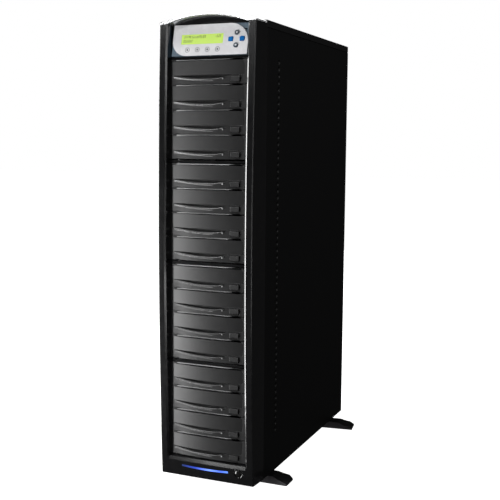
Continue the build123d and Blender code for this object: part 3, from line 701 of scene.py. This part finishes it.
def strand(name, points, radius):
    # a smooth bead through the points, with round ends
    curve = bpy.data.curves.new(name, "CURVE")
    curve.dimensions = "3D"
    curve.bevel_depth, curve.bevel_resolution, curve.use_fill_caps = radius, 3, True
    spline = curve.splines.new("NURBS")
    spline.points.add(len(points) - 1)
    for point, place in zip(spline.points, points):
        point.co = (*place, 1.0)
    spline.order_u, spline.use_endpoint_u, spline.resolution_u = 3, True, 6
    obj = bpy.data.objects.new(name, curve)
    bpy.context.scene.collection.objects.link(obj)
    bpy.context.view_layer.update()
    mesh = bpy.data.meshes.new_from_object(obj.evaluated_get(bpy.context.evaluated_depsgraph_get()))
    bpy.data.objects.remove(obj)
    made = bpy.data.objects.new(name, mesh)
    bpy.context.scene.collection.objects.link(made)
    return made


def driveFronts():
    chin = {
        "middle": -0.0051, "half": 0.0671, "bulge": 0.0036,
        "beadRise": (-0.0292, -0.0312, -0.0328, -0.0339, -0.0344, -0.0345, -0.0344, -0.0336, -0.0316),
        "beadFrom": -0.0700, "beadTo": 0.0245, "beadRadius": 0.0007,
        "underRise": (-0.0312, -0.0336, -0.0354, -0.0366, -0.0370), "underFrom": -0.0695, "underTo": 0.0060,
        "sink": 0.0001, "ridgeShare": 0.8,
        "gapFrom": -0.0705, "gapTo": 0.0290, "gapRadius": 0.0006,
        "gapRise": (-0.0275, -0.0292, -0.0306, -0.0317, -0.0322, -0.0323),
        "cutTo": 0.0540, "cutRise": (-0.0410, -0.0410, -0.0410), "cutRadius": 0.0007, "cutSink": 0.0003,
        "lipFrom": -0.0655, "lipTo": 0.0410, "lipRise": -0.0012, "lipRadius": 0.0009, "lipSink": 0.0007,
        "lipEnd": (0.002, 0.0006),
        "lens": (0.0240, -0.0338), "lensRadius": 0.0013, "lensHigh": 0.5,
        "lensAngles": (-60, 0, 25, 50, 72),
        "pin": (0.0565, -0.0336), "pinRadius": 0.0011,
        "pinProfile": [(0.0, 0.0002), (1.3, 0.0002), (1.3, -0.00008), (1.0, -0.00012),
                       (0.8, -0.00002), (0.0, -0.00002)],
    }
    top = driveTops[0]

    def runner(name, ends, rises, sink, radius, finishName):
        # a bead that follows the swelling strip, one per drive; the black ones are painted shade and
        # painted shadow
        first, last = ends
        count = len(rises)
        places = [first + (last - first) * index / (count - 1) for index in range(count)]
        points = [(x, chinY(x, chin) + sink, top + rise) for x, rise in zip(places, rises)]
        finishObject(perDrive(strand(name, points, radius), finishName), "tower", finishName)

    sink, bead = chin["sink"], chin["beadRadius"]
    # glossy beads along each chin; their lighter grey is partly painted highlight
    runner("chinBead", (chin["beadFrom"], chin["beadTo"]), chin["beadRise"], sink, bead, "edgeGloss")
    ridge = bead * chin["ridgeShare"]
    runner("chinRidge", (chin["underFrom"], chin["underTo"]), chin["underRise"], sink, ridge, "edgeGloss")
    gapEnds, shadowEnds = (chin["gapFrom"], chin["gapTo"]), (chin["lipFrom"], chin["cutTo"])
    # a black strand in the gap under each door: painted shade
    runner("doorGap", gapEnds, chin["gapRise"], sink, chin["gapRadius"], "pitBlack")
    # a black strand at the top edge of each drive, under the chin above: painted shadow
    runner("chinUndercut", shadowEnds, chin["cutRise"], chin["cutSink"], chin["cutRadius"], "pitBlack")
    # a pale strand along each drive's top edge: painted highlight standing for the bright edge line
    y, z = driveFaceY + chin["lipSink"], top + chin["lipRise"]
    along, inward = chin["lipEnd"]
    lip = strand("driveLip", [
        (chin["lipFrom"], y + inward, z), (chin["lipFrom"] + along, y, z), (0, y, z),
        (chin["lipTo"] - along, y, z), (chin["lipTo"], y + inward, z),
    ], chin["lipRadius"])
    finishObject(perDrive(lip, "lipShine"), "tower", "lipShine")
    lensX, lensRise = chin["lens"]
    radius, front = chin["lensRadius"], chinY(lensX, chin)
    high = radius * chin["lensHigh"]
    turns = [math.radians(angle) for angle in chin["lensAngles"]]
    dome = [(radius * math.cos(turn), front - high * math.sin(turn)) for turn in turns]
    lens = meshFrom("driveLens", lambda shape: turned(
        shape, (lensX, top + lensRise), [(0.0, front + high), *dome, (0.0, front - high)], sides=16))
    finishObject(perDrive(lens, "lensClear"), "tower", "lensClear")
    pinX, pinRise = chin["pin"]
    radius, front = chin["pinRadius"], chinY(pinX, chin)
    # the eject pin hole as a black rim and floor standing proud: the black is painted shade
    pin = meshFrom("pinHole", lambda shape: turned(shape, (pinX, top + pinRise), [
        (radius * share, front + y) for share, y in chin["pinProfile"]
    ], sides=18))
    finishObject(perDrive(pin, "pitBlack"), "tower", "pitBlack")
    print("stage: drive fronts dressed")


driveFronts()


def roundTrays():
    # the trays again, with round disc seats and a rounded slot, for when they are out
    seat = {
        "centre": 0.067, "disc": 0.0602, "small": 0.0404, "recess": 0.002, "smallRecess": 0.0031,
        "wall": 0.0006, "over": 0.001, "drop": 0.0134, "thick": 0.006, "half": 0.0615, "overlap": 0.0005,
        "slotHalf": 0.019, "slotNear": 0.022, "slotFar": 0.044, "slotSteps": 18, "sides": 72,
        "deep": 0.003, "reach": 0.156, "edge": 0.0004,
    }
    top = driveTops[0] - seat["drop"]
    back = driveFaceY + seat["deep"] + seat["reach"]
    middle = driveFaceY + seat["centre"]
    source = joinedCopy("tray_01")
    front, bottom = driveFaceY + seat["deep"] - seat["overlap"], top - seat["thick"]
    filled = meshFrom("trayFill", lambda shape: prism(
        shape, (-seat["half"], front, bottom), (seat["half"], back, top)))
    boolean(source, filled, "UNION")

    def wells(shape):
        for radius, depth in ((seat["disc"], seat["recess"]), (seat["small"], seat["smallRecess"])):
            before = set(shape.verts)
            turned(shape, (0, 0), [
                (0, -depth), (radius - seat["wall"], -depth), (radius, 0.0), (radius, seat["over"]),
                (0, seat["over"]),
            ], seat["sides"])
            fresh = [vert for vert in shape.verts if vert not in before]
            spun = Matrix.Translation((0, middle, top)) @ Matrix.Rotation(math.radians(90), 4, "X")
            bmesh.ops.transform(shape, verts=fresh, matrix=spun)

    def slot(shape):
        half, steps = seat["slotHalf"], seat["slotSteps"]
        turns = [math.radians(180 + 180 * step / steps) for step in range(steps + 1)]
        hub, far = middle - seat["slotNear"] + half, middle + seat["slotFar"]
        near = [(half * math.cos(turn), hub + half * math.sin(turn)) for turn in turns]
        outline = near + [(half, far), (-half, far)]
        under = top - seat["thick"] - seat["over"]
        base = shape.faces.new([shape.verts.new((x, y, under)) for x, y in outline])
        raised = bmesh.ops.extrude_face_region(shape, geom=[base])
        lifted = [item for item in raised["geom"] if isinstance(item, bmesh.types.BMVert)]
        bmesh.ops.translate(shape, verts=lifted, vec=(0, 0, seat["thick"] + 2 * seat["over"]))

    first = meshFrom("discWell", wells)
    boolean(source, first, "DIFFERENCE")
    boolean(source, meshFrom("spindleSlot", slot), "DIFFERENCE")
    bevelled(source, seat["edge"], 2)
    for drive, height in enumerate(driveTops):
        node = f"tray_{drive + 1:02d}"
        mesh = source.data.copy()
        mesh.transform(Matrix.Translation((0, 0, height - driveTops[0])))
        tray = bpy.data.objects.new(node + "Round", mesh)
        bpy.context.scene.collection.objects.link(tray)
        finishObject(tray, bodyOf[node], "doorBlack")
        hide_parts(node)
    bpy.data.objects.remove(source)
    print("stage: trays turned out")


roundTrays()


def keypad():
    pad = {
        "thickness": 0.0012, "keyProud": 0.0009, "ringRadius": 0.0042, "centreRadius": 0.0016,
        "ringKeys": {"up_key": 0.0379, "down_key": 0.0161},
        "marks": 4, "firstMark": -0.0408, "markPitch": 0.0188, "markRise": 0.0103, "markRadius": 0.0042,
        "markWidth": 0.0007, "dot": 0.0016, "ink": 0.00004,
        "centreProfile": [(0.0, -0.0004), (1.0, -0.0004), (1.0, 0.00002), (0.8, 0.0001),
                          (0.4, 0.00016), (0.0, 0.00018)],
        "collarProfile": [(0.55, 0.00002), (0.66, 0.00012), (0.86, 0.00012), (0.96, -0.0001),
                          (0.96, -0.0003), (0.55, -0.0003), (0.55, 0.00002)],
    }
    keyX = sum(corner.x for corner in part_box("up_key")) / 2
    face = pad["thickness"] + pad["keyProud"]
    for node, rise in pad["ringKeys"].items():
        radius, inner = pad["ringRadius"], pad["centreRadius"]
        cap = meshFrom(node + "Centre", lambda shape: panelDisc(shape, keyX, rise, [
            (inner * share, face + proud) for share, proud in pad["centreProfile"]
        ]))
        smoothByAngle(cap.data, 50.0)
        finishObject(cap, node, "keyPale")
        collar = meshFrom(node + "Collar", lambda shape: panelDisc(shape, keyX, rise, [
            (radius * share, face + proud) for share, proud in pad["collarProfile"]
        ], sides=40))
        smoothByAngle(collar.data, 50.0)
        finishObject(collar, node, "ringSlate")
    plate = pad["thickness"]

    def mark(shape):
        outer, inner = pad["markRadius"], pad["markRadius"] - pad["markWidth"]
        x, rise, inked, dot = pad["firstMark"], pad["markRise"], plate + pad["ink"], pad["dot"]
        panelDisc(shape, x, rise, [
            (inner, plate), (inner, inked), (outer, inked), (outer, plate), (inner, plate),
        ])
        panelDisc(shape, x, rise, [(0.0, plate), (dot, plate), (dot, inked), (0.0, inked)], sides=20)

    marks = repeated(meshFrom("printedRings", mark), pad["marks"], (pad["markPitch"], 0, 0), "printGrey")
    finishObject(marks, "tower", "printGrey")
    print("stage: keypad dressed")


keypad()


def displayLines():
    figures = {
        "proud": 0.00103, "width": 0.0014, "height": 0.0040, "pitch": 0.0030, "stroke": 0.0005,
        "depth": 0.00004,
        "lines": [(-0.0489, 0.0331, 14, 3), (0.0098, 0.0331, 4, 8), (-0.0489, 0.0257, 6, 5)],
    }
    tree = figuresTree()
    turn = (math.radians(90) - tower["panelTilt"], 0, 0)
    for number, (x, rise, count, seed) in enumerate(figures["lines"], 1):
        half = figures["stroke"] / 2
        reach = figures["width"] / 2
        stroke = meshFrom(f"displayLine{number}", lambda shape: prism(
            shape, (-reach, -half, 0), (reach, half, figures["depth"])))
        values = {
            "Count": count, "Pitch": figures["pitch"], "Width": figures["width"],
            "Height": figures["height"], "Seed": seed, "Place": onPanel(0, 0, figures["proud"]),
            "Turn": turn, "Across": (x, rise, 0),
        }
        grown(stroke, tree, values, "figureInk")
        finishObject(stroke, "tower", "figureInk")
    print("stage: display written")


displayLines()


def powerButton():
    button = {
        "easing": 0.00015, "dome": 0.0013, "proud": 0.0014, "steps": 8, "sides": 48,
        "rim": [(0.0068, 0.0006), (0.0068, 0.0001), (0.0078, -0.0006), (0.0081, -0.0006), (0.0084, -0.0003),
                (0.0085, 0.0006)],
    }
    low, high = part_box("power_button")
    centre = ((low.x + high.x) / 2, (low.z + high.z) / 2)
    radius, shoulder = (high.x - low.x) / 2 - button["easing"], low.y + button["dome"]
    back = high.y - 3 * button["easing"]
    arc = [math.radians(90 * step / button["steps"]) for step in range(button["steps"])]
    dome = [(radius * math.cos(angle), shoulder - button["dome"] * math.sin(angle)) for angle in arc]
    cap = meshFrom("powerCap", lambda shape: turned(
        shape, centre, [(0.0, back), (radius, back), *dome, (0.0, low.y)], button["sides"]))
    smoothByAngle(cap.data, 40.0)
    finishObject(cap, "power_button", "capGloss")
    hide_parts("power_button")
    face, closed = low.y + button["proud"], button["rim"] + button["rim"][:1]
    rim = meshFrom("buttonRim", lambda shape: turned(
        shape, centre, [(reach, face + y) for reach, y in closed], button["sides"]))
    smoothByAngle(rim.data, 40.0)
    finishObject(rim, "tower", "bezelBlack")
    print("stage: power button domed")


powerButton()


def backFittings():
    # the back: wire guards and cross-slotted pan-head screws
    back = {
        "guard": {
            "Rings": 5, "Inner": 0.0095, "Step": 0.0065, "Spokes": 8, "Reach": 0.0405, "Wire": 0.0007,
        },
        "guardLift": 2.4, "fanScrew": 0.0358, "screwRadius": 0.0032, "screwHigh": 0.0018,
        "screwProfile": [(0.0, 0.0), (1.0, 0.0), (1.0, 0.35), (0.8, 0.8), (0.45, 1.0), (0.0, 1.0)],
        "slotLong": 0.0019, "slotWide": 0.0004, "slotDeep": 0.0007,
        "supplyScrewX": 0.068, "supplyScrewRise": 0.036,
    }
    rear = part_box("chassis")[1].y
    rotors, supply = [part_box(f"fan_rotor_{index}") for index in (1, 2)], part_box("power_supply")
    levels = [(low.z + high.z) / 2 for low, high in rotors]
    tree = guardTree()
    for index, level in enumerate(levels, 1):
        guard = meshFrom(f"fanGuard{index}", lambda shape: None)
        centre = (0, rear + back["guardLift"] * back["guard"]["Wire"], level)
        grown(guard, tree, {**back["guard"], "Centre": centre}, "screwSteel")
        finishObject(guard, "tower", "screwSteel")

    def panHead(shape, x, z):
        radius, high = back["screwRadius"], back["screwHigh"]
        turned(shape, (x, z), [
            (radius * share, rear + high * rise) for share, rise in back["screwProfile"]
        ], sides=20)

    corners = [(side, up) for side in (-1, 1) for up in (-1, 1)]
    reach, middle = back["fanScrew"], (supply[0].z + supply[1].z) / 2
    spots = [(side * reach, level + up * reach) for level in levels for side, up in corners]
    spots += [
        (side * back["supplyScrewX"], middle + up * back["supplyScrewRise"]) for side, up in corners
    ]
    x, z = spots[0]
    head = meshFrom("panScrews", lambda shape: panHead(shape, x, z))
    outer = rear + back["screwHigh"]
    long, wide, deep = back["slotLong"], back["slotWide"], back["slotDeep"]
    for across, tall in ((long, wide), (wide, long)):
        cutter = meshFrom("crossCut", lambda shape: prism(
            shape, (x - across, outer - deep, z - tall), (x + across, outer + deep, z + tall)))
        boolean(head, cutter, "DIFFERENCE")
    single = head.data
    merged = bmesh.new()
    for spotX, spotZ in spots:
        before = set(merged.verts)
        merged.from_mesh(single)
        fresh = [vert for vert in merged.verts if vert not in before]
        bmesh.ops.translate(merged, verts=fresh, vec=(spotX - x, 0, spotZ - z))
    merged.to_mesh(single)
    merged.free()
    smoothByAngle(single)
    finishObject(head, "tower", "screwSteel")
    print("stage: back fitted")


backFittings()


def cameraAtPhoto():
    view = {
        "place": Vector((0.673, -1.62889, 0.60488)), "yaw": math.radians(23.176),
        "down": math.radians(6.781), "roll": math.radians(0.387),
        "focalPixels": 899.46, "framePixels": 500, "sensor": 36.0,
    }
    back = Vector((
        math.sin(view["yaw"]) * math.cos(view["down"]), -math.cos(view["yaw"]) * math.cos(view["down"]),
        math.sin(view["down"]),
    ))
    across = (-back).cross(Vector((0, 0, 1))).normalized()
    upward = across.cross(-back)
    right = across * math.cos(view["roll"]) + upward * math.sin(view["roll"])
    up = upward * math.cos(view["roll"]) - across * math.sin(view["roll"])
    lens = bpy.data.cameras.new("photoCamera")
    lens.lens = view["focalPixels"] / view["framePixels"] * view["sensor"]
    lens.sensor_width = view["sensor"]
    camera = bpy.data.objects.new("photoCamera", lens)
    bpy.context.scene.collection.objects.link(camera)
    turn = Matrix((right, up, back)).transposed().to_4x4()
    camera.matrix_world = Matrix.Translation(view["place"]) @ turn
    bpy.context.scene.camera = camera


def areaLight(name, place, target, size, power):
    lamp = bpy.data.lights.new(name, "AREA")
    lamp.shape = "RECTANGLE"
    lamp.size, lamp.size_y = size
    lamp.energy = power
    obj = bpy.data.objects.new(name, lamp)
    bpy.context.scene.collection.objects.link(obj)
    obj.location = place
    obj.rotation_euler = (Vector(target) - Vector(place)).to_track_quat("-Z", "Y").to_euler()
    return obj


def linked(light, names, state):
    # a list of objects for a light: the only ones it shines on, or ones it leaves out
    listed = bpy.data.collections.new(light.name + state.title())
    for name in names:
        listed.objects.link(bpy.data.objects[name])
    for member in listed.collection_objects:
        member.light_linking.link_state = state
    return listed


def studio():
    # a pale floor, a pale surround that only the camera sees, and soft boxes
    studioLights = {
        "surround": 0.02,
        "leftBox": {
            "place": (-2.0, -1.7, -0.22), "target": (0, -0.2, 0.2),
            "size": (1.0, 1.4), "power": 68.0,
        },
        "sideBox": {
            "place": (-2.24, 0.69, 0.5), "target": (0.08, -0.25, 0.45),
            "size": (0.7, 2.4), "power": 34.0,
        },
        "topBox": {
            "place": (-0.75, -0.36, 2.7), "target": (0, -0.15, 0.5),
            "size": (1.5, 1.4), "power": 44.0,
        },
        "frontBox": {
            "place": (-1.2, -2.51, 1.94), "target": (0, -0.2, 0.6),
            "size": (0.8, 0.8), "power": 20.0,
        },
        "rightStrip": {
            "place": (2.06, -1.44, 0.25), "target": (0.09, -0.25, 0.4),
            "size": (0.15, 2.2), "power": 5.0,
        },
        "ventBox": {
            "place": (2.24, 0.08, 1.75), "target": (0.09, -0.1, 0.45),
            "size": (1.0, 1.2), "power": 18.0,
        },
        "backBox": {
            "place": (0.0, 2.9, 1.2), "target": (0, 0.25, 0.4),
            "size": (2.6, 2.6), "power": 60.0,
        },
    }
    ground = {
        "half": 14.0, "grey": 0.85, "glow": 1.0, "roughness": 0.9, "specular": 0.1,
        "rippleScale": 80.0, "rippleDepth": 0.0001,
    }
    floor = meshFrom("floor", lambda shape: bmesh.ops.create_grid(
        shape, x_segments=1, y_segments=1, size=ground["half"]))
    paint = newMaterial("paleFloor", {
        "Roughness": ground["roughness"], "Specular IOR Level": ground["specular"],
        "Base Color": grey(ground["grey"]), "Emission Color": grey(1.0),
        "Emission Strength": ground["glow"],
    })
    ripple = paint.noise(paint.coords(), ground["rippleScale"])
    fill(paint, {"Normal": paint.bump(ripple, ground["rippleDepth"])})
    floor.data.materials.append(paint.material)
    floor.visible_glossy = False
    floor.visible_diffuse = False
    world = bpy.data.worlds.new("studio")
    bpy.context.scene.world = world
    world.use_nodes = True
    shop = Shop(world.node_tree)
    seen = shop.node("ShaderNodeLightPath", output="Is Camera Ray")
    shade = world.node_tree.nodes["Background"]
    tint = shop.mix(seen, grey(studioLights["surround"]), grey(1.0))
    world.node_tree.links.new(tint.socket, shade.inputs["Color"])
    trays = [f"tray_{drive:02d}Round" for drive in range(1, tower["driveCount"] + 1)]
    beads = ["chinBead", "chinRidge", "chinUndercut", "driveLip", "doorGap"]
    fronts = ["front_bezelSoft", "drive_faceplatesSoft", "floor", *trays, *beads]
    inside = ["top_coverSoft", "drive_housings", "chassis", "left_side_panelVented"]
    noShadowOf = {
        "leftBox": ["front_bezelSoft", "floor"], "sideBox": fronts + inside, "topBox": fronts,
        "rightStrip": ["floor"],
    }
    lightsOnly = {"sideBox": ["front_bezelSoft", "arch_trimSoft"]}
    feet = [f"{place}_footSoft" for place in ("right_front", "left_front", "right_rear", "left_rear")]
    lightsAllBut = {
        "backBox": ["right_side_panelVented", "front_bezelSoft", "top_coverSoft", *feet],
        "ventBox": feet,
    }
    for name in ("leftBox", "sideBox", "topBox", "frontBox", "rightStrip", "ventBox", "backBox"):
        box = studioLights[name]
        made = areaLight(name, box["place"], box["target"], box["size"], box["power"])
        if name in noShadowOf:
            made.light_linking.blocker_collection = linked(made, noShadowOf[name], "EXCLUDE")
        if name in lightsOnly:
            made.light_linking.receiver_collection = linked(made, lightsOnly[name], "INCLUDE")
        if name in lightsAllBut:
            made.light_linking.receiver_collection = linked(made, lightsAllBut[name], "EXCLUDE")


cameraAtPhoto()
studio()
bpy.context.scene.view_settings.view_transform = "Standard"
print("stage: studio ready")
